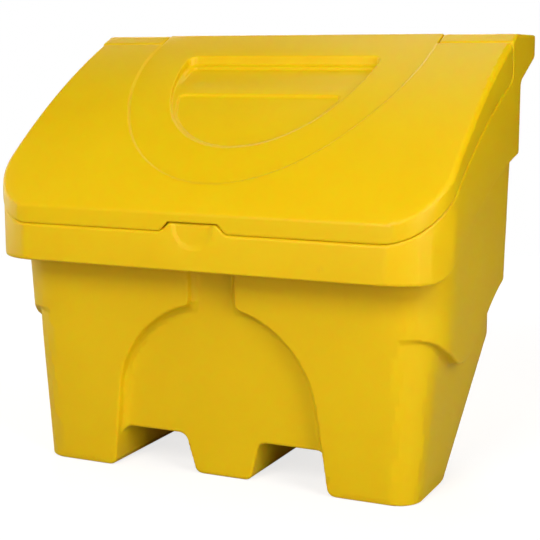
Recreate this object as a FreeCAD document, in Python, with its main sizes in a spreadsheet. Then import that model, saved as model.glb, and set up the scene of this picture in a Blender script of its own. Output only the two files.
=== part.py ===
import FreeCAD, Part
import math
import os
import re

import Sketcher
from FreeCAD import Placement, Rotation, Vector

# Grit salt bin
# A moulded tub with a wide rim, a raised rear beam and an arched front, under a sloping lid that
# swings on a steel rod. +X is the bin's right, +Y its rear, +Z up; the origin lies on the ground,
# at the middle of the bin's overall width and depth. All sizes are millimetres.

doc = FreeCAD.newDocument("grit_bin")
sheet = doc.addObject("Spreadsheet::Sheet", "Sizes")

# The driving sizes: a name, a number and what it means
sizes = [
    # Overall
    ("half_width", 350, "middle to the outside of rim, cheeks and beam"),
    ("front_edge", 245, "middle to the front of the rim"),
    ("rear_edge", 245, "middle to the rear of the beam"),
    ("beam_top", 643, "ground to the top of the beam"),
    ("wall", 5, "thickness of the tub"),
    ("lid_wall", 4.5, "thickness of the lid"),

    # Lower body, at the ground and at the height where it goes under the shoulder
    ("front_foot", 173, "middle to the front wall at the ground"),
    ("front_lean", 0.065, "how far the front wall leans out for each unit of height"),
    ("foot_half", 300, "half width at the ground"),
    ("foot_rear", 80, "middle to the rear wall at the ground"),
    ("foot_front_round", 36, "front corner at the ground"),
    ("foot_rear_round", 140, "rear corner at the ground"),
    ("waist_z", 190, "height where the rear wall stops leaning"),
    ("waist_half", 316, "half width there"),
    ("waist_rear", 150, "middle to the rear wall there"),
    ("waist_front_round", 56, "front corner there"),
    ("waist_rear_round", 36, "rear corner there"),
    ("lower_top", 320, "height to which the lower body runs up inside the rim"),

    # Shoulder, the wider upper body
    ("shoulder_low", 150, "height of its lower outline"),
    ("shoulder_low_half", 332, "half width there"),
    ("shoulder_high", 540, "height of its upper outline"),
    ("shoulder_high_half", 341.5, "half width there"),
    ("shoulder_rear", 160, "middle to its rear wall"),
    ("shoulder_front_round", 70, "front corner"),
    ("shoulder_rear_round", 28, "rear corner"),

    # Sweeping lower edge of the shoulder, from the front to the rear
    ("sweep_front_z", 236, "height at the front"),
    ("sweep_front_y", 185, "where the edge starts to fall"),
    ("sweep_fall_y", 140, "end of the first bend"),
    ("sweep_fall_z", 217.5, "height there"),
    ("sweep_bend", 80, "radius of the first bend and of the low bend"),
    ("sweep_low_front", 98, "start of the low bend"),
    ("sweep_low_rear", 20, "end of the low bend"),
    ("sweep_low_z", 194, "height of both"),
    ("sweep_rise_y", 50, "end of the straight rise"),
    ("sweep_rise_z", 231, "height there"),
    ("sweep_tail", 322, "radius of the bend to the rear"),
    ("sweep_rear_z", 277, "height at the rear"),

    # Rim, cheeks and beam
    ("rim_round", 84, "front corner of the rim"),
    ("cheek_round", 20, "rear corner of the cheeks and beam"),
    ("cheek_edge", 16, "rounding of the cheeks' upright rear edge"),
    ("rim_low", 317.5, "height of the rim's lower edge at the front"),
    ("rim_bend_y", 221, "where the lower edge starts to rise"),
    ("rim_bend", 71, "radius of that bend"),
    ("rim_slope_y", 180, "end of that bend"),
    ("rim_slope_z", 330, "height there"),
    ("rim_side", 800, "radius of the lower edge along the side"),
    ("cheek_low", 466, "height of the lower edge at the rear"),
    ("beam_under", 576, "height where the beam starts to overhang the rear wall"),
    ("beam_lip_y", 233, "start of the beam's lower rear rounding"),
    ("beam_lip_z", 608, "height there"),
    ("beam_lip", 17, "radius of that rounding"),
    ("beam_lip_end", 622, "height where that rounding ends"),
    ("beam_edge", 8, "rounding of the beam's top rear edge"),
    ("strip_rear", 123, "rear end of the strip that runs on from the lid's curve"),
    ("strip_front_z", 631, "height of that strip's front edge"),

    # Parting line between tub and lid, which also gives the lid's skirt
    ("lid_gap", 0.8, "gap between lid and tub"),
    ("part_front", 369.5, "height at the front"),
    ("part_rear_y", 82, "rear end of the long curve"),
    ("part_rear_z", 566.2, "height there"),
    ("part_curve", 980, "radius of the long curve"),
    ("heel_y", 101.8, "rear of the lid's lower rear corner"),
    ("heel_z", 590.4, "top of that corner"),
    ("heel_round", 23, "radius of that corner"),

    # Lid
    ("lid_inset", 0.5, "how far the lid's side stays inside the rim's"),
    ("lid_rear", 95, "middle to the lid's rear edge"),
    ("lid_rear_z", 630.5, "height of that edge"),
    ("lid_front_z", 399, "height of the lid's front edge"),
    ("lid_curve", 1272, "radius of the lid's long top curve"),
    ("lid_round", 80, "front corner of the lid"),
    ("lid_edge", 9, "rounding all along the lid's top edge"),
    ("rear_drop", 1.2, "drop of the hollow's rear corner for each unit of wall"),
    ("front_drop", 0.4, "drop of the hollow's front edge for each unit of wall"),

    # Shallow horseshoe recess in the lid, which runs out to the rear over the hinge
    ("shoe_half", 235, "half width at the rear"),
    ("shoe_nose", 203.5, "middle to its nose"),
    ("shoe_nose_round", 212, "radius of the nose"),
    ("shoe_side_round", 320, "radius of the flanks"),
    ("shoe_side_y", 79, "middle to the flanks' widest place"),
    ("shoe_low_y", 215, "front end of its floor's long curve, under the lid's front"),
    ("shoe_low_z", 424.6, "height there"),
    ("shoe_curve", 1500, "radius of that curve"),

    # Cover, the middle of the lid where it runs on over the hinge
    ("cover_rear", 130, "middle to its rear edge"),
    ("cover_rear_z", 644.8, "height of that edge"),
    ("cover_wall", 3.6, "thickness of the cover"),
    ("cover_edge", 1.5, "rounding of its rear edge"),

    # Sunk panel in the horseshoe, with a ledge round two deeper pockets
    ("panel_half", 162, "half width of the panel"),
    ("panel_nose", 142.5, "middle to its nose"),
    ("panel_nose_round", 148, "radius of the nose"),
    ("panel_side_round", 243, "radius of the flanks"),
    ("panel_side_y", 64, "middle to the flanks' widest place"),
    ("panel_rear", 60, "middle to its straight rear side"),
    ("panel_corner", 13, "rounding of its rear corners"),
    ("panel_end_y", 66, "rear end of its floor's long curve, behind the rear side"),
    ("panel_end_z", 599.5, "height there"),
    ("panel_low_y", 150, "front end of that curve, under the lid's front"),
    ("panel_low_z", 474.3, "height there"),
    ("panel_curve", 920, "radius of that curve"),
    ("panel_ledge", 7, "width of the ledge round the pockets"),
    ("pocket_drop", 4, "depth of the front pocket under the ledge"),
    ("pocket_rear", 28, "middle to the front pocket's straight rear side"),
    ("pocket_corner", 9, "rounding of its rear corners"),
    ("grip_front", 12, "middle to the front end of the hand-hold's floor"),
    ("grip_front_z", 563, "height there, level with the ledge"),
    ("grip_rear_z", 589, "height of that floor at the hand-hold's rear side"),

    # Rain lip that stands up inside the lid
    ("lip_gap", 2.5, "gap between the lid's skirt and the lip"),
    ("lip_wall", 4, "thickness of the lip"),
    ("lip_height", 12, "height of the lip over the parting line"),
    ("lip_rear", 78, "middle to the lip's rear end"),

    # Arched recess in the front
    ("arch_z", 105, "height of the arch's centre"),
    ("arch_round", 158, "radius of the arch"),
    ("leg_lean", 7, "lean of the arch's legs in degrees"),
    ("neck_half", 36, "half width of the neck over the arch"),
    ("neck_round", 11, "rounding between neck and arch"),
    ("arch_depth", 18, "depth of the recess at the ground"),
    ("neck_depth", 15, "depth of the recess at the rim"),
    ("arch_floor_round", 12, "rounding where the recess meets its floor"),

    # Fork channels, one each side of the middle foot
    ("fork_z", 60, "height of the channels"),
    ("fork_round", 13, "rounding of their upper corners"),
    ("middle_foot_half", 48, "half width of the middle foot at the ground"),
    ("middle_foot_top", 57, "half width of the middle foot at the channel's top"),
    ("foot_edge", 13, "rounding of the feet's lower edges in the channels"),

    # Finger recess and its tab under the lid's front edge
    ("tab_half_low", 53, "half width of the tab at its foot"),
    ("tab_half_high", 37, "half width of the tab at its top"),
    ("tab_rise", 15, "height of the tab over the parting line"),
    ("tab_depth", 5, "depth of the tab, from the front"),
    ("tab_root", 3, "depth of the tab in the rim"),
    ("tab_bend", 1, "distance under the parting line where the tab's sides start to lean"),
    ("tab_gap", 1.5, "gap between the lid and the tab's sides"),
    ("finger_round", 31, "radius of the finger recess"),
    ("finger_depth", 3, "depth of the finger recess"),
    ("finger_drop", 4, "top of the tab to the centre of the finger recess"),

    # Hinge
    ("hinge_y", 122, "middle to the hinge line"),
    ("hinge_z", 628, "height of the hinge line"),
    ("rod_radius", 3.5, "hinge rod"),
    ("running_fit", 0.1, "radial clearance of the rod in its bores"),
    ("knuckle_radius", 7.5, "outside of the knuckles"),
    ("trough_rear", 142, "middle to the rear of the trough for the knuckles"),
    ("trough_low", 608.5, "height of the trough's floor"),
    ("knuckle_count", 7, "knuckles in the trough, the lid's and the tub's in turn"),
    ("knuckle_gap", 1.5, "gap between two knuckles"),
    ("seat_inset", 28, "outside of a cheek to the face where a retaining cap sits"),
    ("cap_radius", 7, "outside of a retaining cap"),
    ("cap_length", 11, "length of a retaining cap"),
    ("cap_dome", 3, "rounding of its closed end"),
    ("cap_bore", 8, "depth of its bore"),
    ("cap_fit", 0.02, "radial clearance of the rod in a cap"),
    ("cap_room", 1.2, "gap round a cap in its pocket"),
    ("end_play", 0.5, "gap between the rod's end and the bottom of a cap's bore"),
    ("rod_edge", 0.5, "bevel of the rod's ends"),
    ("trough_front", 75, "middle to the front of the trough"),

    # Roots by which a form is sunk in what carries it, and how far a cut reaches past its solid
    ("knuckle_root", 2, "depth of the tub's knuckles in the trough's floor"),
    ("over", 10, "reach of a cut past what it cuts"),
]
for row, (alias, amount, meaning) in enumerate(sizes, 1):
    sheet.set(f"A{row}", meaning)
    sheet.set(f"B{row}", str(amount))
    sheet.setAlias(f"B{row}", alias)
names = [alias for alias, amount, meaning in sizes]
doc.recompute()


def linked(text):
    """An expression of plain names, written with the sheet's name before each alias."""
    return re.sub(r"[a-z_]+", lambda word: "Sizes." + word[0] if word[0] in names else word[0], text)


def number(text):
    """The number that an expression of plain names has now."""
    return float(sheet.evalExpression(linked(text)))


def arc_centre(start, end, radius):
    """Centre of the arc between two points: on the left for a positive radius."""
    half = (end - start) / 2
    left = Vector(-half.y, half.x, 0) / half.Length
    reach = math.sqrt(radius * radius - half.Length * half.Length)
    return start + half + left * (reach if radius > 0 else -reach)


seat_end = "(half_width - seat_inset)"

# How near counts as the same place when edges are picked
near = 0.05

# Three ways to look at a sketch: from above, from the side and from the front.
views = {
    "above": Placement(),
    "side": Placement(Vector(), Rotation(Vector(1, 1, 1), 120)),
    "front": Placement(Vector(), Rotation(Vector(1, 0, 0), 90)),
}


def outline(name, view, steps, height="0"):
    """A closed sketch through steps of (across, up, bend) to the next step.

    bend is the radius of the arc to the next step, negative where it turns to the right, and
    an empty text where the way is straight."""
    sketch = doc.addObject("Sketcher::SketchObject", name)
    sketch.Placement = views[view]
    sketch.setExpression("Placement.Base.z", linked(height))
    points = [Vector(number(across), number(up), 0) for across, up, bend in steps]
    tips = []
    for place, (across, up, bend) in enumerate(steps):
        start = points[place]
        end = points[(place + 1) % len(steps)]
        if not bend:
            sketch.addGeometry(Part.LineSegment(start, end), False)
            tips.append((1, 2))
            continue
        radius = number(bend)
        centre = arc_centre(start, end, radius)
        first, last = (start, end) if radius > 0 else (end, start)
        turn = [math.atan2(spot.y - centre.y, spot.x - centre.x) for spot in (first, last)]
        circle = Part.Circle(centre, Vector(0, 0, 1), abs(radius))
        sketch.addGeometry(Part.ArcOfCircle(circle, turn[0], turn[1]), False)
        tips.append((1, 2) if radius > 0 else (2, 1))
    for place in range(len(steps)):
        after = (place + 1) % len(steps)
        sketch.addConstraint(
            Sketcher.Constraint("Coincident", place, tips[place][1], after, tips[after][0])
        )
    for place, (across, up, bend) in enumerate(steps):
        for kind, text in (("DistanceX", across), ("DistanceY", up)):
            spot = Sketcher.Constraint(kind, -1, 1, place, tips[place][0], number(text))
            sketch.setExpression(f"Constraints[{sketch.addConstraint(spot)}]", linked(text))
        if bend:
            rule = Sketcher.Constraint("Radius", place, abs(number(bend)))
            sketch.setExpression(f"Constraints[{sketch.addConstraint(rule)}]", linked(f"abs({bend})"))
    return sketch


def extruded(name, sketch, start, end):
    """The sketch drawn out along its own normal, from start to end."""
    solid = doc.addObject("Part::Extrusion", name)
    solid.Base = sketch
    solid.DirMode = "Normal"
    solid.Solid = True
    solid.setExpression("LengthFwd", linked(end))
    solid.setExpression("LengthRev", linked(f"-({start})"))
    return solid


def lofted(name, sections):
    """A solid through outlines at several heights, with straight walls between them."""
    solid = doc.addObject("Part::Loft", name)
    solid.Sections = sections
    solid.Solid = True
    solid.Ruled = True
    return solid


def joined(name, solids):
    fuse = doc.addObject("Part::MultiFuse", name)
    fuse.Shapes = solids
    fuse.Refine = True
    return fuse


def shared(name, first, second):
    common = doc.addObject("Part::Common", name)
    common.Base = first
    common.Tool = second
    return common


def cut(name, solid, tools):
    """The solid without the tools."""
    result = doc.addObject("Part::Cut", name)
    result.Base = solid
    result.Tool = joined(name + "_tools", tools) if len(tools) > 1 else tools[0]
    result.Refine = True
    return result


def softened(name, solid, choose, radius):
    """The solid with the edges that choose picks rounded."""
    doc.recompute()
    fillet = doc.addObject("Part::Fillet", name)
    fillet.Base = solid
    amount = number(radius)
    picked = [place + 1 for place, edge in enumerate(solid.Shape.Edges) if choose(edge)]
    fillet.Edges = [(place, amount, amount) for place in picked]
    doc.recompute()
    print(f"{name}: {len(picked)} edges rounded by {amount}")
    return fillet


def on_curve(edge, centre, radius):
    """Whether an edge lies on the long curve about a centre seen from the side."""
    spots = [edge.valueAt(edge.FirstParameter + (edge.LastParameter - edge.FirstParameter) * share)
             for share in (0, 0.3, 0.7, 1)]
    gaps = [abs(math.hypot(spot.y - centre.x, spot.z - centre.y) - radius) for spot in spots]
    return max(gaps) < near


# Outlines seen from above

def plan(name, half, front, rear, front_round, rear_round, height="0"):
    """A rectangle with two front and two rear corner roundings."""
    return outline(name, "above", [
        (f"{front_round} - {half}", f"-({front})", ""),
        (f"{half} - ({front_round})", f"-({front})", front_round),
        (half, f"{front_round} - ({front})", ""),
        (half, f"{rear} - ({rear_round})", rear_round),
        (f"{half} - ({rear_round})", rear, ""),
        (f"{rear_round} - ({half})", rear, rear_round),
        (f"-({half})", f"{rear} - ({rear_round})", ""),
        (f"-({half})", f"{front_round} - ({front})", front_round),
    ], height)


def plan_of_body(name, level, half, rear, front_round, rear_round, inset):
    """The body's outline at one height, where the front wall leans, made smaller by the inset."""
    front = f"(front_foot + front_lean * {level} - {inset})"
    return plan(name, f"({half} - {inset})", front, f"({rear} - {inset})",
                f"({front_round} - {inset})", f"({rear_round} - {inset})", level)


# Tub without its rim
# The same forms are made twice: at full size, and smaller by the wall for the inside.

def lower_body(name, inset):
    sections = [
        plan_of_body(name + "_ground", "0", "foot_half", "foot_rear",
                     "foot_front_round", "foot_rear_round", inset),
        plan_of_body(name + "_waist", "waist_z", "waist_half", "waist_rear",
                     "waist_front_round", "waist_rear_round", inset),
        plan_of_body(name + "_top", "lower_top", "waist_half", "waist_rear",
                     "waist_front_round", "waist_rear_round", inset),
    ]
    return lofted(name, sections)


def shoulder(name, inset):
    sections = [
        plan_of_body(name + "_low", "shoulder_low", "shoulder_low_half", "shoulder_rear",
                     "shoulder_front_round", "shoulder_rear_round", inset),
        plan_of_body(name + "_high", "shoulder_high", "shoulder_high_half", "shoulder_rear",
                     "shoulder_front_round", "shoulder_rear_round", inset),
    ]
    sweep = outline(name + "_side", "side", [
        ("-front_edge - over", f"sweep_front_z + {inset}", ""),
        ("-sweep_front_y", f"sweep_front_z + {inset}", "-sweep_bend"),
        ("-sweep_fall_y", f"sweep_fall_z + {inset}", ""),
        ("-sweep_low_front", f"sweep_low_z + {inset}", "sweep_bend"),
        ("-sweep_low_rear", f"sweep_low_z + {inset}", ""),
        ("sweep_rise_y", f"sweep_rise_z + {inset}", "-sweep_tail"),
        ("shoulder_rear", f"sweep_rear_z + {inset}", ""),
        ("rear_edge", f"sweep_rear_z + {inset}", ""),
        ("rear_edge", "(cheek_low + beam_under) / 2", ""),
        ("-front_edge - over", "(rim_low + part_front) / 2", ""),
    ])
    band = extruded(name + "_band", sweep, "-half_width", "half_width")
    return shared(name, lofted(name + "_loft", sections), band)


# Arched recess and fork channels, grown by the wall for the inside

leg_x = "((arch_round + {grow} - ({z} - arch_z) * sin(leg_lean * 1 deg)) / cos(leg_lean * 1 deg))"
neck_z = "(arch_z + sqrt((arch_round + neck_round)^2 - (neck_half + neck_round)^2))"


def arch(name, grow):
    share = f"((arch_round + {grow}) / (arch_round + neck_round))"
    join_x = f"({share} * (neck_half + neck_round))"
    join_z = f"(arch_z + {share} * ({neck_z} - arch_z))"
    top_x = f"((arch_round + {grow}) * cos(leg_lean * 1 deg))"
    top_z = f"(arch_z + (arch_round + {grow}) * sin(leg_lean * 1 deg))"
    low_x = leg_x.format(grow=grow, z="(-over)")
    half = [
        (low_x, "-over", ""),
        (top_x, top_z, f"arch_round + {grow}"),
        (join_x, join_z, f"{grow} - neck_round"),
        (f"neck_half + {grow}", neck_z, ""),
        (f"neck_half + {grow}", "rim_low", ""),
    ]
    bends = [bend for across, up, bend in half[:-1]]
    other = [(f"-({across})", up, "") for across, up, bend in reversed(half)]
    mirrored = [(across, up, bend) for (across, up, nothing), bend in zip(other, bends[::-1] + [""])]
    front = outline(name + "_front", "front", half + mirrored)
    prism = extruded(name + "_prism", front, "0", "front_edge + over")
    side = outline(name + "_side", "side", [
        (f"arch_depth + {grow} - front_foot + front_lean * over", "-over", ""),
        (f"neck_depth + {grow} - front_foot - front_lean * rim_low", "rim_low", ""),
        ("-front_edge", "rim_low", ""),
        ("-front_edge", "-over", ""),
    ])
    slab = extruded(name + "_slab", side, "-half_width", "half_width")
    return shared(name, prism, slab)


def fork_channel(name, grow):
    """Both channels, seen from the front and drawn through from front to rear."""
    top = f"(fork_z + {grow})"
    inner_low = f"(middle_foot_half - {grow})"
    inner_top = f"(middle_foot_top - {grow})"
    outer_low = leg_x.format(grow=grow, z="foot_edge")
    outer_top = leg_x.format(grow=grow, z="fork_z")
    steps = [
        (f"{inner_low} - foot_edge", "-over", ""),
        (f"{inner_low} - foot_edge", "0", "foot_edge"),
        (inner_low, "foot_edge", ""),
        (inner_top, f"{top} - fork_round", "-fork_round"),
        (f"{inner_top} + fork_round", top, ""),
        (f"{outer_top} - fork_round", top, "-fork_round"),
        (outer_top, f"{top} - fork_round", ""),
        (outer_low, "foot_edge", "foot_edge"),
        (f"{outer_low} + foot_edge", "0", ""),
        (f"{outer_low} + foot_edge", "-over", ""),
    ]
    right = outline(name + "_right", "front", steps)
    left = outline(name + "_left", "front",
                   [(f"-({across})", up, f"-({bend})" if bend else "") for across, up, bend in steps])
    return [extruded(name + side, sketch, "-rear_edge", "front_edge + over")
            for side, sketch in (("_cut_right", right), ("_cut_left", left))]


# Rim, cheeks and beam: one band seen from the side, with the corners of the outline from above

def rim_band(name):
    side = outline(name + "_side", "side", [
        ("-front_edge", "rim_low", ""),
        ("-rim_bend_y", "rim_low", "rim_bend"),
        ("-rim_slope_y", "rim_slope_z", "-rim_side"),
        ("shoulder_rear", "cheek_low", ""),
        ("shoulder_rear", "beam_under", ""),
        ("beam_lip_y", "beam_lip_z", "beam_lip"),
        ("rear_edge", "beam_lip_end", ""),
        ("rear_edge", "beam_top - beam_edge", "beam_edge"),
        ("rear_edge - beam_edge", "beam_top", ""),
        ("strip_rear", "beam_top", "lid_curve"),
        ("lid_rear + 2 * lid_gap", "strip_front_z", ""),
        ("heel_y + lid_gap", "heel_z", "-heel_round - lid_gap"),
        ("part_rear_y", "part_rear_z", "part_curve"),
        ("-front_edge", "part_front", ""),
    ])
    above = plan(name + "_above", "half_width", "front_edge", "rear_edge", "rim_round", "cheek_round")
    return shared(name, extruded(name + "_across", side, "-half_width", "half_width"),
                  extruded(name + "_up", above, "0", "beam_top + over"))


ledge = "(lid_wall + lid_inset + lip_gap + lip_wall)"


def rim_inside(name):
    """The mouth inside the rain lip, and the hollow under the beam."""
    side = outline(name + "_side", "side", [
        ("-front_edge", "rim_low + wall", ""),
        ("-rim_bend_y", "rim_low + wall", "rim_bend - wall"),
        ("-rim_slope_y", "rim_slope_z + wall", "-rim_side - wall"),
        ("shoulder_rear - wall", "cheek_low + wall", ""),
        ("shoulder_rear - wall", "beam_under + wall", ""),
        ("beam_lip_y - wall", "beam_lip_z + wall", ""),
        ("rear_edge - wall", "beam_lip_end", ""),
        ("rear_edge - wall", "beam_top - wall", ""),
        ("trough_rear + wall", "beam_top - wall", ""),
        ("trough_rear + wall", "trough_low - wall", ""),
        ("heel_y + lid_gap + wall", "trough_low - wall", ""),
        ("heel_y + lid_gap + wall", "part_rear_z - 2 * wall", ""),
        ("lip_rear + 2 * wall", "part_rear_z - 2 * wall", ""),
        ("lip_rear + 2 * wall", "beam_top + over", ""),
        ("-front_edge", "beam_top + over", ""),
    ])
    above = plan(name + "_above", f"(half_width - {ledge})", f"(front_edge - {ledge})",
                 "(rear_edge - wall)", f"(rim_round - {ledge})", "(cheek_round - wall)")
    return shared(name, extruded(name + "_across", side, "-half_width", "half_width"),
                  extruded(name + "_up", above, "0", "beam_top + over"))


def rain_lip(name):
    inset = "(lid_wall + lid_inset + lip_gap)"
    side = outline(name + "_side", "side", [
        ("-front_edge", "part_front - wall", ""),
        ("lip_rear", "part_rear_z - 4 * wall", ""),
        ("lip_rear", "part_rear_z + lip_height - wall", "part_curve"),
        ("-front_edge", "part_front + lip_height", ""),
    ])
    above = plan(name + "_above", f"(half_width - {inset})", f"(front_edge - {inset})",
                 "rear_edge", f"(rim_round - {inset})", "cheek_round")
    return shared(name, extruded(name + "_across", side, "-half_width", "half_width"),
                  extruded(name + "_up", above, "0", "beam_top + over"))


def curve_centre(*texts):
    """Centre of a long side curve, as across and up seen from the side."""
    start_y, start_z, end_y, end_z, radius = [number(text) for text in texts]
    return arc_centre(Vector(start_y, start_z, 0), Vector(end_y, end_z, 0), radius)


def on_cheek_edge(edge):
    """The upright rear edges of the two cheeks, under the beam."""
    box = edge.BoundBox
    upright = box.ZLength > (number("beam_under") - number("cheek_low")) / 2
    at_side = abs(abs(box.Center.x) - number("half_width")) < near
    return upright and at_side and abs(box.Center.y - number("shoulder_rear")) < near and box.YLength < near


rim = softened("rim_soft", rim_band("rim"), on_cheek_edge, "cheek_edge")
outer = joined("outer", [rim, shoulder("shoulder", "0"), lower_body("lower", "0"),
                         rain_lip("lip")])
arch_tool = arch("arch", "0")
doc.recompute()


def on_arch_floor(edge):
    """The edges where the recess's walls meet its floor."""
    low = number("-over")
    high = number("rim_low")
    foot = number("arch_depth - front_foot + front_lean * over")
    head = number("neck_depth - front_foot - front_lean * rim_low")
    spots = [vertex.Point for vertex in edge.Vertexes]
    at_floor = [abs(spot.y - foot - (head - foot) * (spot.z - low) / (high - low)) < near
                for spot in spots]
    level = abs(spots[0].z - spots[-1].z) < near and edge.BoundBox.XLength > number("neck_half")
    return all(at_floor) and not level


arch_tool = softened("arch_soft", arch_tool, on_arch_floor, "arch_floor_round")

inner = joined("inner", [rim_inside("mouth"), shoulder("shoulder_in", "wall")])
inner_low = cut("inner_low_raised", lower_body("lower_in", "wall"),
                [extruded("floor_in", outline("floor_plan", "above", [
                    ("-half_width", "-front_edge", ""),
                    ("half_width", "-front_edge", ""),
                    ("half_width", "rear_edge", ""),
                    ("-half_width", "rear_edge", ""),
                ]), "-over", "wall")])
inner_cut = cut("inner_cut", joined("inner_all", [inner, inner_low]),
                [arch("arch_in", "wall")] + fork_channel("fork_in", "wall"))

# Hinge: a trough in the beam for the knuckles, which the lid and the tub carry in turn

trough_side = outline("trough_side", "side", [
    ("trough_front", "trough_low", ""),
    ("trough_rear", "trough_low", ""),
    ("trough_rear", "beam_top + over", ""),
    ("trough_front", "beam_top + over", ""),
])
cap_space = "(cap_radius + cap_room)"
pocket_side = outline("cap_pocket_side", "side", [
    (f"hinge_y - {cap_space}", "trough_low - wall - over", ""),
    (f"hinge_y + {cap_space}", "trough_low - wall - over", ""),
    (f"hinge_y + {cap_space}", "hinge_z", cap_space),
    ("hinge_y", f"hinge_z + {cap_space}", cap_space),
    (f"hinge_y - {cap_space}", "hinge_z", ""),
])
hinge_cuts = [
    extruded("trough", trough_side, "-shoe_half - lid_gap", "shoe_half + lid_gap"),
    extruded("cap_pocket_right", pocket_side, seat_end, "half_width - wall"),
    extruded("cap_pocket_left", pocket_side, "wall - half_width", f"-{seat_end}"),
]


def bore(name):
    """The way of the rod, with its running fit."""
    hole = doc.addObject("Part::Cylinder", name)
    hole.setExpression("Radius", linked("rod_radius + running_fit"))
    hole.setExpression("Height", linked(f"2 * ({seat_end} + over)"))
    hole.Placement = Placement(Vector(), Rotation(Vector(0, 1, 0), 90))
    hole.setExpression("Placement.Base.x", linked(f"-{seat_end} - over"))
    hole.setExpression("Placement.Base.y", linked("hinge_y"))
    hole.setExpression("Placement.Base.z", linked("hinge_z"))
    return hole


tub_knuckle_side = outline("tub_knuckle_side", "side", [
    ("hinge_y - knuckle_radius", "trough_low - knuckle_root", ""),
    ("hinge_y + knuckle_radius", "trough_low - knuckle_root", ""),
    ("hinge_y + knuckle_radius", "hinge_z", "knuckle_radius"),
    ("hinge_y", "hinge_z + knuckle_radius", "knuckle_radius"),
    ("hinge_y - knuckle_radius", "hinge_z", ""),
])
lid_knuckle_side = outline("lid_knuckle_side", "side", [
    ("hinge_y", "hinge_z - knuckle_radius", "knuckle_radius"),
    ("hinge_y + knuckle_radius", "hinge_z", ""),
    ("hinge_y + knuckle_radius", "cover_rear_z - cover_wall / 2", ""),
    ("lid_rear - lid_wall / 2", "lid_rear_z - lid_wall", ""),
    ("lid_rear - lid_wall / 2", "hinge_z - knuckle_radius", ""),
])
tub_knuckles = []
lid_knuckles = []
for turn in range(int(number("knuckle_count"))):
    step = "(2 * shoe_half / knuckle_count)"
    start = f"{turn} * {step} - shoe_half + knuckle_gap / 2"
    end = f"{turn + 1} * {step} - shoe_half - knuckle_gap / 2"
    if turn % 2:
        tub_knuckles.append(extruded(f"tub_knuckle_{turn}", tub_knuckle_side, start, end))
    else:
        lid_knuckles.append(extruded(f"lid_knuckle_{turn}", lid_knuckle_side, start, end))

# Finger tab: a small raised tongue of the rim, with the finger recess sunk in it

tab_front = outline("tab_front", "front", [
    ("-tab_half_low", "part_front - tab_root", ""),
    ("tab_half_low", "part_front - tab_root", ""),
    ("tab_half_low", "part_front - tab_bend", ""),
    ("tab_half_high", "part_front + tab_rise", ""),
    ("-tab_half_high", "part_front + tab_rise", ""),
    ("-tab_half_low", "part_front - tab_bend", ""),
])
tab = extruded("tab", tab_front, "front_edge - tab_depth", "front_edge")
finger_z = "part_front + tab_rise - finger_drop"
finger_front = outline("finger_front", "front", [
    ("-finger_round", finger_z, "finger_round"),
    ("0", f"{finger_z} - finger_round", "finger_round"),
    ("finger_round", finger_z, ""),
    ("finger_round", f"{finger_z} + over", ""),
    ("-finger_round", f"{finger_z} + over", ""),
])
finger = extruded("finger", finger_front, "front_edge - finger_depth", "front_edge + over")

tub_front = cut("tub_front", outer, [arch_tool] + fork_channel("fork", "0"))
tub_solid = cut("tub_solid", tub_front, hinge_cuts)
tub_dressed = joined("tub_dressed", [tub_solid, tab] + tub_knuckles)
tub = cut("tub", cut("tub_shell", tub_dressed, [inner_cut]), [bore("tub_bore"), finger])

# Lid: a block from the side and from above, with its recesses, the cover and a hollow back


def lid_block(name, inset, skirt):
    """The lid's form, smaller by the inset and drawn down below the parting line by skirt."""
    side = outline(name + "_side", "side", [
        (f"heel_y - {inset}", f"heel_z - {skirt}", ""),
        (f"lid_rear - {inset}", f"lid_rear_z - rear_drop * {inset}", f"lid_curve - {inset}"),
        (f"{inset} - front_edge", f"lid_front_z - front_drop * {inset}", ""),
        (f"{inset} - front_edge", f"part_front + lid_gap - {skirt}", "-part_curve"),
        (f"part_rear_y - {inset}", f"part_rear_z + lid_gap - {skirt}", "heel_round"),
    ])
    above = plan(name + "_above", f"(half_width - lid_inset - {inset})", f"(front_edge - {inset})",
                 "(rear_edge + over)", f"(lid_round - {inset})", "cheek_round")
    return shared(name, extruded(name + "_across", side, "-half_width", "half_width"),
                  extruded(name + "_up", above, "0", "beam_top + over"))


def over_curve(name, ends, bend, drop):
    """All that lies over a long curve, sunk by the drop, seen from the side."""
    (start_y, start_z), (end_y, end_z) = ends
    return outline(name, "side", [
        (start_y, f"{start_z} - {drop}", f"-{bend}"),
        (end_y, f"{end_z} - {drop}", ""),
        (end_y, "beam_top + 2 * over", ""),
        (start_y, "beam_top + 2 * over", ""),
    ])


def nosed(name, half, nose, nose_round, side_round, side_y, rear, corner):
    """A form with a rounded nose to the front, bent flanks and a straight rear side."""
    nose_y = f"({nose_round} - {nose})"
    off = f"({side_round} - {half})"
    apart = f"sqrt({off}^2 + ({side_y} - {nose_y})^2)"
    meet_x = f"({nose_round} * {off} / {apart})"
    meet_y = f"({nose_y} - {nose_round} * ({side_y} - {nose_y}) / {apart})"
    drop = f"({side_y} - {rear} + {corner})"
    corner_x = f"(sqrt(({side_round} - {corner})^2 - {drop}^2) - {off})"
    share = f"({side_round} / ({side_round} - {corner}))"
    flank_x = f"(({corner_x} + {off}) * {share} - {off})"
    flank_y = f"({side_y} - {drop} * {share})"
    return outline(name, "above", [
        (f"-{meet_x}", meet_y, nose_round),
        (meet_x, meet_y, side_round),
        (flank_x, flank_y, corner),
        (corner_x, rear, ""),
        (f"-{corner_x}", rear, corner),
        (f"-{flank_x}", flank_y, side_round),
    ])


def sunk(name, above, side):
    """What is taken out of the lid between an outline from above and a floor from the side."""
    return shared(name, extruded(name + "_up", above, "0", "beam_top + 2 * over"),
                  extruded(name + "_across", side, "-half_width", "half_width"))


shoe_ends = [("-shoe_low_y", "shoe_low_z"), ("cover_rear - cover_edge", "cover_rear_z")]
panel_ends = [("-panel_low_y", "panel_low_z"), ("panel_end_y", "panel_end_z")]


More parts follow.
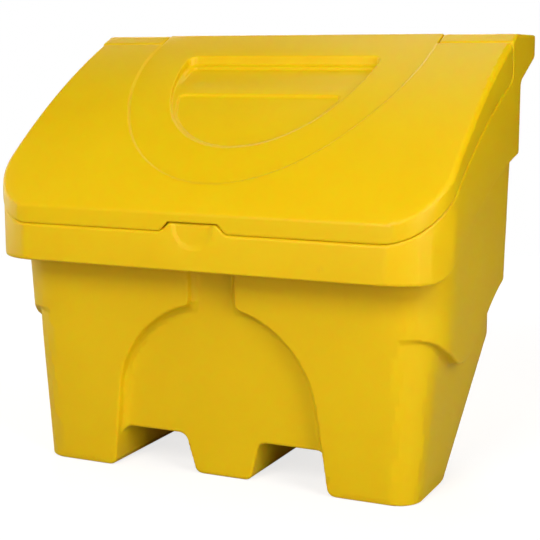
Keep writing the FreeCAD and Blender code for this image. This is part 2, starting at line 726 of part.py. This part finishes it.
def horseshoe(name, grow):
    """The shallow recess; grown to leave a skin behind it. It is open to the rear."""
    half = f"(shoe_half + {grow})"
    off = f"(shoe_side_round - shoe_half)"
    nose_y = "(shoe_nose_round - shoe_nose)"
    apart = f"sqrt({off}^2 + (shoe_side_y - {nose_y})^2)"
    reach = f"(shoe_nose_round + {grow})"
    above = outline(name + "_above", "above", [
        (f"-({reach} * {off} / {apart})", f"{nose_y} - {reach} * (shoe_side_y - {nose_y}) / {apart}",
         reach),
        (f"({reach} * {off} / {apart})", f"{nose_y} - {reach} * (shoe_side_y - {nose_y}) / {apart}",
         f"(shoe_side_round + {grow})"),
        (half, "shoe_side_y", ""),
        (half, "cover_rear", ""),
        (f"-{half}", "cover_rear", ""),
        (f"-{half}", "shoe_side_y", f"(shoe_side_round + {grow})"),
    ])
    return sunk(name, above, over_curve(name + "_side", shoe_ends, "shoe_curve", grow))


def panel_plan(name, inset, rear, corner):
    """The panel's outline from above, smaller by the inset, with its own rear side."""
    return nosed(name, f"(panel_half - {inset})", f"(panel_nose - {inset})",
                 f"(panel_nose_round - {inset})", f"(panel_side_round - {inset})", "panel_side_y",
                 rear, corner)


def panel_cuts(name, grow):
    """The panel and its front pocket and hand-hold; grown to leave a skin behind them."""
    ledge_y = f"(panel_ledge - {grow})"
    floor = over_curve(name + "_floor", panel_ends, "panel_curve", grow)
    low_floor = over_curve(name + "_low_floor", panel_ends, "panel_curve",
                           f"(pocket_drop + {grow})")
    grip_rear = f"(panel_rear - {ledge_y})"
    grip_floor = outline(name + "_grip_floor", "side", [
        ("-grip_front", f"grip_front_z - {grow}", ""),
        (grip_rear, f"grip_rear_z - {grow}", ""),
        (grip_rear, "panel_end_z", ""),
        ("-grip_front", "panel_end_z", ""),
    ])
    return [
        sunk(name, panel_plan(name + "_above", f"(-{grow})", f"(panel_rear + {grow})",
                              f"(panel_corner + {grow})"), floor),
        sunk(name + "_pocket", panel_plan(name + "_pocket_above", ledge_y,
                                          f"({grow} - pocket_rear)", f"(pocket_corner + {grow})"),
             low_floor),
        sunk(name + "_grip", panel_plan(name + "_grip_above", ledge_y, grip_rear,
                                        f"(pocket_corner + {grow})"), grip_floor),
    ]


lid_centre = curve_centre("lid_rear", "lid_rear_z", "-front_edge", "lid_front_z", "lid_curve")
lid_form = lid_block("lid_form", "0", "0")
lid_form = softened("lid_soft", lid_form, lambda edge: on_curve(edge, lid_centre, number("lid_curve"))
                    and edge.BoundBox.YMax < number("lid_rear") + near
                    and edge.BoundBox.YMin < number("lid_rear") - 1, "lid_edge")
hollow = lid_block("hollow", "lid_wall", "over")
hollow_centre = curve_centre("lid_rear - lid_wall", "lid_rear_z - rear_drop * lid_wall",
                             "lid_wall - front_edge", "lid_front_z - front_drop * lid_wall",
                             "lid_curve - lid_wall")
hollow = softened("hollow_soft", hollow, lambda edge: on_curve(edge, hollow_centre,
                  number("lid_curve - lid_wall")) and edge.BoundBox.YMin < number("lid_rear") - 2
                  * number("lid_wall"), "lid_edge - lid_wall")
lid_outer = cut("lid_outer", lid_form, [horseshoe("shoe", "0")] + panel_cuts("panel", "0"))
lid_inner = cut("lid_inner", hollow,
                [horseshoe("shoe_in", "lid_wall")] + panel_cuts("panel_in", "lid_wall"))
cover_band = extruded("cover_band", outline("cover_side", "side", [
    ("cover_rear", "cover_rear_z - cover_edge", "cover_edge"),
    ("cover_rear - cover_edge", "cover_rear_z", "shoe_curve"),
    ("-shoe_low_y", "shoe_low_z", ""),
    ("-shoe_low_y", "shoe_low_z - cover_wall", "-shoe_curve"),
    ("cover_rear", "cover_rear_z - cover_wall", ""),
]), "-shoe_half", "shoe_half")
cover = shared("cover", cover_band, extruded("cover_block", outline("cover_plan", "above", [
    ("-shoe_half", "lid_rear - lid_wall / 2", ""),
    ("shoe_half", "lid_rear - lid_wall / 2", ""),
    ("shoe_half", "cover_rear", ""),
    ("-shoe_half", "cover_rear", ""),
]), "0", "beam_top + over"))
tab_room = extruded("tab_room", outline("tab_room_front", "front", [
    ("-tab_half_low - tab_gap", "part_front - over", ""),
    ("tab_half_low + tab_gap", "part_front - over", ""),
    ("tab_half_low + tab_gap", "part_front - tab_bend", ""),
    ("tab_half_high + tab_gap", "part_front + tab_rise + lid_gap", ""),
    ("-tab_half_high - tab_gap", "part_front + tab_rise + lid_gap", ""),
    ("-tab_half_low - tab_gap", "part_front - tab_bend", ""),
]), "front_edge - tab_depth - lid_gap", "front_edge + over")
lid_shell = cut("lid_shell", lid_outer, [lid_inner])
lid_whole = joined("lid_whole", [lid_shell, cover] + lid_knuckles)
lid = cut("lid", lid_whole, [bore("lid_bore"), tab_room])


# Hinge rod and the caps that keep it in place

def turned(name, steps, flip):
    """A round piece about the hinge line."""
    body = doc.addObject("PartDesign::Body", name)
    body.Placement = Placement(Vector(), Rotation(Vector(0, 0, 1), 180 if flip else 0))
    body.setExpression("Placement.Base.y", linked("hinge_y"))
    body.setExpression("Placement.Base.z", linked("hinge_z"))
    profile = outline(name + "_profile", "above", steps)
    body.addObject(profile)
    flat = [plane for plane in body.Origin.OriginFeatures if plane.Role == "XY_Plane"][0]
    profile.setExpression("Placement.Base.z", None)
    profile.AttachmentSupport = [(flat, "")]
    profile.MapMode = "FlatFace"
    turn = body.newObject("PartDesign::Revolution", name + "_turn")
    turn.Profile = profile
    turn.ReferenceAxis = (profile, ["H_Axis"])
    turn.Angle = 360
    body.Tip = turn
    return body


rod_end = f"({seat_end} + cap_bore - end_play)"
rod = turned("hinge_rod", [
    (f"-{rod_end}", "0", ""),
    (rod_end, "0", ""),
    (rod_end, "rod_radius - rod_edge", ""),
    (f"{rod_end} - rod_edge", "rod_radius", ""),
    (f"rod_edge - {rod_end}", "rod_radius", ""),
    (f"-{rod_end}", "rod_radius - rod_edge", ""),
], False)
cap_steps = [
    (seat_end, "rod_radius + cap_fit", ""),
    (f"{seat_end} + cap_bore", "rod_radius + cap_fit", ""),
    (f"{seat_end} + cap_bore", "0", ""),
    (f"{seat_end} + cap_length", "0", ""),
    (f"{seat_end} + cap_length", "cap_radius - cap_dome", "cap_dome"),
    (f"{seat_end} + cap_length - cap_dome", "cap_radius", ""),
    (seat_end, "cap_radius", ""),
]
cap_right = turned("hinge_cap_right", cap_steps, False)
cap_left = turned("hinge_cap_left", cap_steps, True)

pieces = {"tub": tub, "lid": lid, "hinge_rod": rod,
          "hinge_cap_right": cap_right, "hinge_cap_left": cap_left}
for label, piece in pieces.items():
    piece.Label = label
doc.recompute()

faults = [item.Label for item in doc.Objects if "Invalid" in item.State or "Error" in item.State]
if faults:
    raise RuntimeError(f"failed: {faults}")
os.makedirs("parts", exist_ok=True)
for label, piece in pieces.items():
    shape = piece.Shape
    if shape.isNull() or not shape.isValid():
        raise RuntimeError(f"{label} is not a sound shape")
    print(label, "solids", len(shape.Solids), "volume", round(shape.Volume), "box",
          [round(edge, 1) for edge in (shape.BoundBox.XMin, shape.BoundBox.YMin, shape.BoundBox.ZMin,
                                       shape.BoundBox.XMax, shape.BoundBox.YMax, shape.BoundBox.ZMax)])
    shape.exportStep(f"parts/{label}.step")
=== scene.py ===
# %% [markdown]
# A yellow grit salt bin stands on pavements and in car parks all winter. The real one is two
# moulded plastic shells, a tub and a lid that turns on one steel rod. This lesson takes the
# packed construction model, gives each shell the soft edges that come out of a mould, makes its
# plastic from noise and small bumps, and lights it like a cut-out in a catalogue.

# %% Load the frame
import bpy
import itertools
import math
import numpy as np
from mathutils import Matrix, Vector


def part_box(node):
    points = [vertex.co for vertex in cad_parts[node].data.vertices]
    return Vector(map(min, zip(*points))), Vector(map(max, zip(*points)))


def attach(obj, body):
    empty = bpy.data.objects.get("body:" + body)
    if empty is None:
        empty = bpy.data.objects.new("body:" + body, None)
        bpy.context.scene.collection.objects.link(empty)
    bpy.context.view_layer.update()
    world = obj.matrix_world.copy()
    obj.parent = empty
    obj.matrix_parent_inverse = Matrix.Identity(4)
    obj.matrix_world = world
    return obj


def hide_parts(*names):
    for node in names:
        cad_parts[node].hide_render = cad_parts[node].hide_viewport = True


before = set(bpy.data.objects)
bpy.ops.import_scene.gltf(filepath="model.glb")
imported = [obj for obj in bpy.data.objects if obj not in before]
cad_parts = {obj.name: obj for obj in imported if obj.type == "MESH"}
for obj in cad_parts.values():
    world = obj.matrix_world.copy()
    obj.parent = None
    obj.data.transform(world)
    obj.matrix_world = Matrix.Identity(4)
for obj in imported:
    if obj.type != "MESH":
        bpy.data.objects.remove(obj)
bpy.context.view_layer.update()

import openvdb
from mathutils import Vector

millimetre = 0.001
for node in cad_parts:
    low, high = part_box(node)
    print(node, [round((top - bottom) / millimetre, 1) for bottom, top in zip(low, high)])

# %% [markdown]
# The camera stands where the photograph was taken from: to the right of the bin's middle and
# about as high as the lid's rear edge, looking down by nine degrees. Its place was worked out
# from edges that are mirror images of each other on the real bin. The lens is given by how many
# pixels of the 540 pixel wide picture lie between the middle and a ray at 45 degrees.

# %% Camera
camera_place = (0.8329, -1.7922, 0.6055)
camera_turn = math.radians(24.81)
camera_dip = math.radians(9.20)
focal_pixels = 1300
picture_pixels = 540

camera_data = bpy.data.cameras.new("camera")
camera_data.sensor_width = 36
camera_data.lens = camera_data.sensor_width * focal_pixels / picture_pixels
camera = bpy.data.objects.new("camera", camera_data)
camera.location = camera_place
camera.rotation_euler = (math.pi / 2 - camera_dip, 0, camera_turn)
bpy.context.scene.collection.objects.link(camera)
bpy.context.scene.camera = camera
print("lens", round(camera_data.lens, 2), "mm")

# %% [markdown]
# Shaders are trees of nodes, and writing them link by link is long. Wire wraps one output of
# such a tree so that ordinary arithmetic on it makes the Math nodes.

# %% Arithmetic on shader nodes
class Wire:
    """One output of a shader tree, which can be reckoned with like a number."""

    def __init__(self, socket):
        self.socket = socket

    def reckon(self, operation, first, second):
        """A Math node over two numbers or wires."""
        node = self.socket.id_data.nodes.new("ShaderNodeMath")
        node.operation = operation
        for place, value in zip(node.inputs, (first, second)):
            feed(place, value)
        return Wire(node.outputs[0])

    def __add__(self, other):
        return self.reckon("ADD", self, other)

    def __sub__(self, other):
        return self.reckon("SUBTRACT", self, other)

    def __mul__(self, other):
        return self.reckon("MULTIPLY", self, other)

    def __truediv__(self, other):
        return self.reckon("DIVIDE", self, other)

    def __rsub__(self, other):
        return self.reckon("SUBTRACT", other, self)

    def __rtruediv__(self, other):
        return self.reckon("DIVIDE", other, self)

    __radd__ = __add__
    __rmul__ = __mul__

    def at_least(self, other):
        return self.reckon("MAXIMUM", self, other)

    def at_most(self, other):
        return self.reckon("MINIMUM", self, other)

    def clamped(self):
        """The same, kept between 0 and 1."""
        return self.at_least(0.0).at_most(1.0)

    def swing(self, reach):
        """A noise's way up or down from its middle, times a reach."""
        return (self - 0.5) * reach


def feed(socket, value):
    """Put a number or colour into a socket, or link a wire to it."""
    if isinstance(value, Wire):
        socket.id_data.links.new(value.socket, socket)
    else:
        socket.default_value = value


print("operators", [name for name in vars(Wire) if name.startswith("__r")])

# %% [markdown]
# Shade makes every other kind of node: it takes the node's type, its settings, and the values
# or wires for its sockets. The kinds that come up again and again get a short name.

# %% Other shader nodes
class Shade:
    """An empty shader tree and the means to add nodes to it."""

    def __init__(self, owner):
        owner.use_nodes = True
        self.owner = owner
        self.tree = owner.node_tree
        self.tree.nodes.clear()

    def node(self, kind, settings, values, output=0):
        """A node of any kind, as the wire of one of its outputs."""
        node = self.tree.nodes.new(kind)
        for setting, value in settings.items():
            setattr(node, setting, value)
        for socket, value in values.items():
            feed(node.inputs[socket], value)
        return Wire(node.outputs[output])

    def noise(self, place, scale, detail, roughness=0.5):
        """Cloudy noise between about 0.2 and 0.8, with so many clouds to the metre."""
        return self.node("ShaderNodeTexNoise", {"noise_dimensions": "3D"},
                         {"Vector": place, "Scale": scale, "Detail": detail, "Roughness": roughness})

    def mixed(self, share, first, second):
        """A colour between two others."""
        return self.node("ShaderNodeMix", {"data_type": "RGBA"},
                         {"Factor": share, 6: first, 7: second}, 2)

    def stretched(self, place, factors):
        """A place with each coordinate multiplied by its own factor."""
        return self.node("ShaderNodeVectorMath", {"operation": "MULTIPLY"},
                         {0: place, 1: factors})

    def distance(self, place, spot):
        """How far the place is from a spot."""
        return self.node("ShaderNodeVectorMath", {"operation": "DISTANCE"},
                         {0: place, 1: spot}, 1)

    def show(self, shader):
        """Lead a shader to the end of the tree, and say how large the tree became."""
        kind = "World" if isinstance(self.owner, bpy.types.World) else "Material"
        out = self.tree.nodes.new("ShaderNodeOutput" + kind)
        feed(out.inputs["Surface"], shader)
        print(self.owner.name, len(self.tree.nodes), "nodes")


print("shader helpers ready")

# %% [markdown]
# The photograph is a cut-out: the bin on pure white. For every other ray the floor is a pale
# grey sheet, so little light comes back up and the underside of the rim stays dark, as it is in
# the photograph. The camera's rays also get a glow from it, which lifts the sheet to white but
# leaves the bin's soft shadow. The glow grows with the distance from the bin, since the lamps
# don't reach the far floor.

# %% Floor
floor_half = 6.0
floor_grey = 0.35
floor_glow = 0.75
glow_start = 0.9
glow_end = 2.2
pure_white = (1, 1, 1, 1)

floor_mesh = bpy.data.meshes.new("floor")
floor_mesh.from_pydata([(x * floor_half, y * floor_half, 0)
                        for x, y in ((-1, -1), (1, -1), (1, 1), (-1, 1))], [], [(0, 1, 2, 3)])
floor = bpy.data.objects.new("floor", floor_mesh)
bpy.context.scene.collection.objects.link(floor)
floor_sheet = bpy.data.materials.new("floor_sheet")
shade = Shade(floor_sheet)
seen = shade.node("ShaderNodeLightPath", {}, {}, "Is Camera Ray")
sheet = shade.node("ShaderNodeBsdfDiffuse", {}, {"Color": (floor_grey, floor_grey, floor_grey, 1)})
glow = shade.node("ShaderNodeEmission", {}, {"Color": pure_white, "Strength": floor_glow})
near = shade.node("ShaderNodeAddShader", {}, {0: sheet, 1: glow})
far = shade.node("ShaderNodeEmission", {}, {"Color": pure_white, "Strength": 1.0})
place = shade.node("ShaderNodeTexCoord", {}, {}, "Object")
away = (shade.distance(place, (0, 0, 0)) - glow_start) / (glow_end - glow_start)
lifted = shade.node("ShaderNodeMixShader", {}, {0: away.clamped(), 1: near, 2: far})
shade.show(shade.node("ShaderNodeMixShader", {}, {0: seen, 1: sheet, 2: lifted}))
floor_mesh.materials.append(floor_sheet)
print("floor", 2 * floor_half, "m wide")

# %% [markdown]
# The world does the same for the backdrop: the camera sees it white. To all other rays it is a
# faint warm fill, which is what a yellow object throws back on itself in a small studio.

# %% Backdrop
sky_fill = 0.06
sky_colour = (1.0, 0.6, 0.3, 1)

world = bpy.data.worlds.new("studio")
bpy.context.scene.world = world
shade = Shade(world)
seen = shade.node("ShaderNodeLightPath", {}, {}, "Is Camera Ray")
fill = shade.node("ShaderNodeBackground", {}, {"Color": sky_colour, "Strength": sky_fill})
backdrop = shade.node("ShaderNodeBackground", {}, {"Color": pure_white, "Strength": 1.0})
shade.show(shade.node("ShaderNodeMixShader", {}, {0: seen, 1: fill, 2: backdrop}))
bpy.context.scene.view_settings.view_transform = "Standard"
print("fill", sky_fill)

# %% [markdown]
# The shading of the photograph tells where its lamps stood. The front is bright all over, so the
# main soft box is in front of the bin and above it. The right side has a high and a low lamp, and
# a strong one stands low on the left. These two low ones also draw the edges of the rim and the
# arch. Behind the bin, a weak high lamp and a low one light what the photograph doesn't show. The
# lamp on the left and the low one at the rear are wide, because small ones glare in the flat
# plastic. Each lamp is given by the direction that it comes from: a turn round the bin, with 0 at
# its right side and -90 at its front, and a height above the horizon.

# %% Lamps
aim = Vector((0, 0, 0.35))
lamp_reach = 3.0
lamps = (  # name, turn and height in degrees, width in metres, strength in watts
    ("front_box", -90, 33, 1.1, 40),
    ("front_low_box", -90, 8, 1.1, 12),
    ("right_box", -30, 33, 1.1, 29),
    ("right_low_box", -30, 8, 1.1, 25),
    ("left_low_box", -180, 8, 2.4, 50),
    ("top_box", 0, 80, 1.3, 3),
    ("rear_box", 105, 55, 1.1, 6),
    ("rear_low_box", 115, 14, 2.4, 60),
)


def soft_box(name, turn, height, width, watts):
    """A square lamp that looks at the middle of the bin from a turn and a height in degrees."""
    turn, height = math.radians(turn), math.radians(height)
    toward = Vector((math.cos(turn) * math.cos(height), math.sin(turn) * math.cos(height),
                     math.sin(height)))
    lamp = bpy.data.lights.new(name, "AREA")
    lamp.size = width
    lamp.energy = watts
    box = bpy.data.objects.new(name, lamp)
    box.location = aim + lamp_reach * toward
    box.rotation_euler = toward.to_track_quat("Z", "Y").to_euler()
    bpy.context.scene.collection.objects.link(box)
    print(name, watts, "W")


for lamp in lamps:
    soft_box(*lamp)

# %% [markdown]
# The plastic is polyethylene coloured through. Close up it isn't one colour: the pigment lies in
# slow clouds, the skin has the fine dimples of the mould, and handling has left a few dull
# marks. Clouds mix two yellows, dimples go into a bump, and both also move the roughness, so the
# light slides over the surface unevenly, as it does on the real shells. Light also goes a few
# millimetres into such plastic and comes out redder, which the bleed stands for.

# %% Plastic
yellow = (0.84, 0.560, 0.003, 1)
deep_yellow = (0.81, 0.515, 0.002, 1)
worn_yellow = (0.62, 0.40, 0.02, 1)
bleed = (1.0, 0.35, 0.05)
bleed_share, bleed_depth = 0.5, 5.0 * millimetre
plastic_glint = 0.22

cloud_scale, cloud_swing = 4.0, 1.6
patch_scale, patch_swing, patch_dulling = 22.0, 0.5, 0.16
dimple_scale, dimple_height = 160.0, 0.6
grain_scale, grain_dulling, grain_height = 900.0, 0.10, 0.4
scratch_scale, scratch_stretch = 420.0, (1.0, 1.0, 0.12)
worn_start, worn_slope, worn_share = 0.60, 9.0, 0.05
mark_start, mark_slope, mark_growth = 0.45, 6.0, 2.0
mark_share, mark_dulling, mark_height = 0.55, 0.12, 0.8
skin_strength, skin_depth = 0.22, 0.6 * millimetre


def plastic(name, base_roughness, scuff, scuff_reach):
    """Moulded yellow plastic, with a dull mark round the place of one scuff."""
    material = bpy.data.materials.new(name)
    shade = Shade(material)
    place = shade.node("ShaderNodeTexCoord", {}, {}, "Object")
    clouds = shade.noise(place, cloud_scale, detail=3.0)
    patches = shade.noise(place, patch_scale, detail=4.0)
    dimples = shade.noise(place, dimple_scale, detail=2.0)
    grain = shade.noise(place, grain_scale, detail=2.0)
    scratches = shade.noise(shade.stretched(place, scratch_stretch), scratch_scale,
                            detail=3.0, roughness=0.6)
    worn = ((scratches - worn_start) * worn_slope).clamped()
    marks = (1.0 - shade.distance(place, scuff) / scuff_reach).at_least(0.0)
    marks = (marks * mark_growth).at_most(1.0) * ((scratches - mark_start) * mark_slope).clamped()
    share = (clouds.swing(cloud_swing) + patches.swing(patch_swing) + 0.5).clamped()
    colour = shade.mixed(share, deep_yellow, yellow)
    wear = (worn * worn_share + marks * mark_share).at_most(1.0)
    colour = shade.mixed(wear, colour, worn_yellow)
    roughness = (base_roughness + patches.swing(patch_dulling) + grain.swing(grain_dulling)
                 + marks * mark_dulling)
    height = dimples * dimple_height + grain * grain_height + marks * mark_height
    bump = shade.node("ShaderNodeBump", {},
                      {"Strength": skin_strength, "Distance": skin_depth, "Height": height})
    shade.show(shade.node("ShaderNodeBsdfPrincipled", {}, {
        "Base Color": colour, "Roughness": roughness, "Normal": bump,
        "IOR": 1.5, "Specular IOR Level": plastic_glint, "Subsurface Weight": bleed_share,
        "Subsurface Radius": bleed, "Subsurface Scale": bleed_depth,
    }))
    return material


tub_plastic = plastic("tub_plastic", 0.44, (0.19, -0.24, 0.335), 8 * millimetre)
lid_plastic = plastic("lid_plastic", 0.40, (0.13, -0.05, 0.549), 10 * millimetre)

# %% [markdown]
# The rod and the two caps that keep it in place are zinc plated steel. They hardly show, but they
# do when the lid is open. Fine rings round the rod come from drawing it, so one noise changes
# quickly along the rod and slowly across it. The zinc has dull grey blooms from a cloudy noise.

# %% Steel
ring_scale, ring_stretch = 1400.0, (1.0, 0.05, 0.05)
ring_dulling, ring_strength, ring_depth = 0.2, 0.2, 0.2 * millimetre
bloom_scale, bloom_start, bloom_slope, bloom_dulling = 90.0, 0.42, 3.0, 0.15


def steel(name, bright, dull, base_roughness):
    """Zinc plated steel with fine marks across the rod and dull blooms."""
    material = bpy.data.materials.new(name)
    shade = Shade(material)
    place = shade.node("ShaderNodeTexCoord", {}, {}, "Object")
    rings = shade.noise(shade.stretched(place, ring_stretch), ring_scale, detail=2.0)
    blooms = shade.noise(place, bloom_scale, detail=4.0, roughness=0.6)
    share = ((blooms - bloom_start) * bloom_slope).clamped()
    colour = shade.mixed(share, bright, dull)
    roughness = base_roughness + rings.swing(ring_dulling) + share * bloom_dulling
    bump = shade.node("ShaderNodeBump", {},
                      {"Strength": ring_strength, "Distance": ring_depth, "Height": rings})
    shade.show(shade.node("ShaderNodeBsdfPrincipled", {}, {
        "Base Color": colour, "Metallic": 1.0, "Roughness": roughness, "Normal": bump,
    }))
    return material


rod_steel = steel("rod_steel", (0.62, 0.62, 0.60, 1), (0.42, 0.42, 0.40, 1), 0.26)
cap_steel = steel("cap_steel", (0.42, 0.41, 0.39, 1), (0.26, 0.25, 0.24, 1), 0.38)
for node, material in (("hinge_rod", rod_steel), ("hinge_cap_left", cap_steel),
                       ("hinge_cap_right", cap_steel)):
    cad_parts[node].data.materials.clear()
    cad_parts[node].data.materials.append(material)

# %% [markdown]
# A moulded shell has no sharp edge anywhere. One way to soften every edge at once is to leave the
# mesh for a while: fill a grid of small cells with each cell's distance to the surface, negative
# inside, and blur the grid. On a flat wall the blur changes nothing, because the distance grows
# evenly there, but over an edge it rounds. The surface where the blurred distance is zero is the
# soft shell. The tub is large, so it makes do with larger cells than the lid, which carries the
# fine steps of the hand-hold.

# %% From mesh to distances
tub_cell = 2.4 * millimetre
lid_cell = 1.5 * millimetre
band_cells = 5
spare_cells = 2


def mesh_arrays(node):
    """A node's corners and its triangles, as arrays."""
    mesh = node.data
    mesh.calc_loop_triangles()
    points = np.empty((len(mesh.vertices), 3), np.float32)
    mesh.vertices.foreach_get("co", points.ravel())
    triangles = np.empty((len(mesh.loop_triangles), 3), np.int32)
    mesh.loop_triangles.foreach_get("vertices", triangles.ravel())
    return points, triangles.astype(np.uint32)


def distance_cells(node, cell):
    """Signed distances to a node's surface on a grid, and the grid's first index."""
    points, triangles = mesh_arrays(node)
    grid = openvdb.FloatGrid.createLevelSetFromPolygons(
        points, triangles=triangles,
        transform=openvdb.createLinearTransform(voxelSize=cell), halfWidth=band_cells)
    low, high = grid.evalActiveVoxelBoundingBox()
    first = np.array(low) - spare_cells
    last = np.array(high) + spare_cells
    cells = np.full(last + 1 - first, band_cells * cell, np.float32)
    grid.copyToArray(cells, ijk=tuple(first.tolist()))
    return cells, first


for node, cell in (("tub", tub_cell), ("lid", lid_cell)):
    low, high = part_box(node)
    count = math.prod((top - bottom) / cell for bottom, top in zip(low, high))
    print(node, "takes about", round(count / 1e6, 1), "million cells")

# %% [markdown]
# The blur would also narrow the hole that the rod runs in, since it is only a few cells wide. So
# the rod's way is bored again in the cells first, a little wider than the rod.

# %% Room for the rod
rod_low, rod_high = [np.array(corner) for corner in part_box("hinge_rod")]
rod_middle = (rod_low + rod_high) / 2
rod_radius = (rod_high[2] - rod_low[2]) / 2
rod_room = 0.7 * millimetre


def clear_rod(cells, first, cell):
    """Bore the rod's way through the cells, in place."""
    x, y, z = [(first[axis] + np.arange(cells.shape[axis])) * cell for axis in range(3)]
    inside = (x > rod_low[0] - rod_room) & (x < rod_high[0] + rod_room)
    across = np.hypot(y[:, None] - rod_middle[1], z[None, :] - rod_middle[2])
    bore = (rod_radius + rod_room - across).astype(np.float32)
    cells[inside] = np.maximum(cells[inside], bore[None])


print("rod", round(2 * rod_radius / millimetre, 1), "mm across")

# %% [markdown]
# A blur with a bell curve in three dimensions is the same as one along each axis in turn, which
# is much quicker. The curve is cut off where it has nearly died away.

# %% Blur
bell_reach = 2.5


def blurred(cells, width):
    """The cells smoothed by a bell curve of this width, in cells, along each axis in turn."""
    reach = math.ceil(bell_reach * width)
    taps = np.exp(-0.5 * (np.arange(-reach, reach + 1) / width) ** 2)
    taps /= taps.sum()
    for axis in range(3):
        margin = [(reach, reach) if side == axis else (0, 0) for side in range(3)]
        padded = np.moveaxis(np.pad(cells, margin, mode="edge"), axis, 0)
        count = cells.shape[axis]
        total = sum(np.float32(tap) * padded[shift:shift + count] for shift, tap in enumerate(taps))
        cells = np.moveaxis(total, 0, axis)
    return np.ascontiguousarray(cells)


slope = np.arange(9, dtype=np.float32)[:, None, None] * np.ones((9, 9, 9), np.float32)
print("an even slope stays as it is:", blurred(slope, 1.0)[3:6, 4, 4])

# %% [markdown]
# The direction in which the blurred distance grows is the true normal of the soft surface. The
# packed mesh shows its bends as narrow flat strips, so the normals are then evened out between
# neighbours that nearly agree, which leaves the real edges alone.

# %% Normals
evening_rounds = 30
evening_turn = math.radians(9)


def sampled(cells, spots):
    """Values between the cells, at spots given in cells."""
    base = np.floor(spots).astype(int)
    share = spots - base
    total = 0
    for corner in itertools.product((0, 1), repeat=3):
        weight = np.prod(np.where(corner, share, 1 - share), axis=1)
        spot = base + corner
        total = total + weight * cells[spot[:, 0], spot[:, 1], spot[:, 2]]
    return total


def unit(vectors):
    """The vectors brought to length 1."""
    return vectors / np.maximum(np.linalg.norm(vectors, axis=1, keepdims=True), 1e-9)


def evened(normals, edges):
    """Normals averaged, again and again, with those neighbours that nearly agree with them."""
    limit = math.cos(evening_turn)
    for step in range(evening_rounds):
        first = normals[edges[:, 0]]
        second = normals[edges[:, 1]]
        alike = np.clip(((first * second).sum(axis=1) - limit) / (1 - limit), 0, 1)
        total = normals.copy()
        for axis in range(3):
            for here, there in ((0, second), (1, first)):
                total[:, axis] += np.bincount(edges[:, here], alike * there[:, axis], len(normals))
        normals = unit(total)
    return normals


for lean in (0.05, 0.5):
    pair = unit(np.array([[0, lean, 1.0], [0, -lean, 1.0]]))
    print("a lean of", lean, "becomes", evened(pair, np.array([[0, 1]]))[0].round(3))

# %% [markdown]
# Back from the grid to a mesh: the library walks the zero surface and gives its corners and
# faces, with larger faces where it is flat. If they face inward, they are turned round.

# %% From distances to a shell
flat_merging = 0.02
faces_tested = 1000


def shell_mesh(name, cells, first, cell):
    """The mesh of the cells' zero surface, with normals read from the cells."""
    grid = openvdb.FloatGrid(float(cells.max()))
    grid.transform = openvdb.createLinearTransform(voxelSize=cell)
    grid.copyFromArray(cells, ijk=tuple(first.tolist()))
    points, triangles, quads = grid.convertToPolygons(isovalue=0.0, adaptivity=flat_merging)
    spots = points / cell - first
    slope = np.stack([sampled(cells, spots + step) - sampled(cells, spots - step)
                      for step in np.eye(3)], axis=1)
    normals = unit(slope)
    tested = quads[:faces_tested]
    corners = points[tested]
    facing = np.cross(corners[:, 1] - corners[:, 0], corners[:, 2] - corners[:, 0])
    if (facing * normals[tested[:, 0]]).sum() < 0:
        triangles = triangles[:, ::-1]
        quads = quads[:, ::-1]
    mesh = bpy.data.meshes.new(name)
    mesh.from_pydata(points.tolist(), [], triangles.tolist() + quads.tolist())
    mesh.polygons.foreach_set("use_smooth", [True] * len(mesh.polygons))
    edges = np.empty((len(mesh.edges), 2), np.int32)
    mesh.edges.foreach_get("vertices", edges.ravel())
    mesh.normals_split_custom_set_from_vertices(evened(normals, edges).tolist())
    return mesh


def soft_shell(name, node, cell, softness, material):
    """A piece that stands for a CAD shell, with every edge softened."""
    cells, first = distance_cells(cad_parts[node], cell)
    clear_rod(cells, first, cell)
    cells = blurred(cells, softness / cell)
    mesh = shell_mesh(name, cells, first, cell)
    mesh.materials.append(material)
    piece = bpy.data.objects.new(name, mesh)
    bpy.context.scene.collection.objects.link(piece)
    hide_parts(node)
    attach(piece, node)
    print(name, len(mesh.polygons), "faces, cells", cells.shape)


print("normals are read from", 6 * 8, "cells each")

# %% [markdown]
# The tub's edges are as round as a pencil. The lid is thinner and crisper, so it gets less blur.

# %% Tub and lid
soft_shell("tub_shell", "tub", tub_cell, 2.0 * millimetre, tub_plastic)
soft_shell("lid_shell", "lid", lid_cell, 1.3 * millimetre, lid_plastic)

# %% [markdown]
# Softening may only take material away from the outside, so the dressed bin has to fit in the
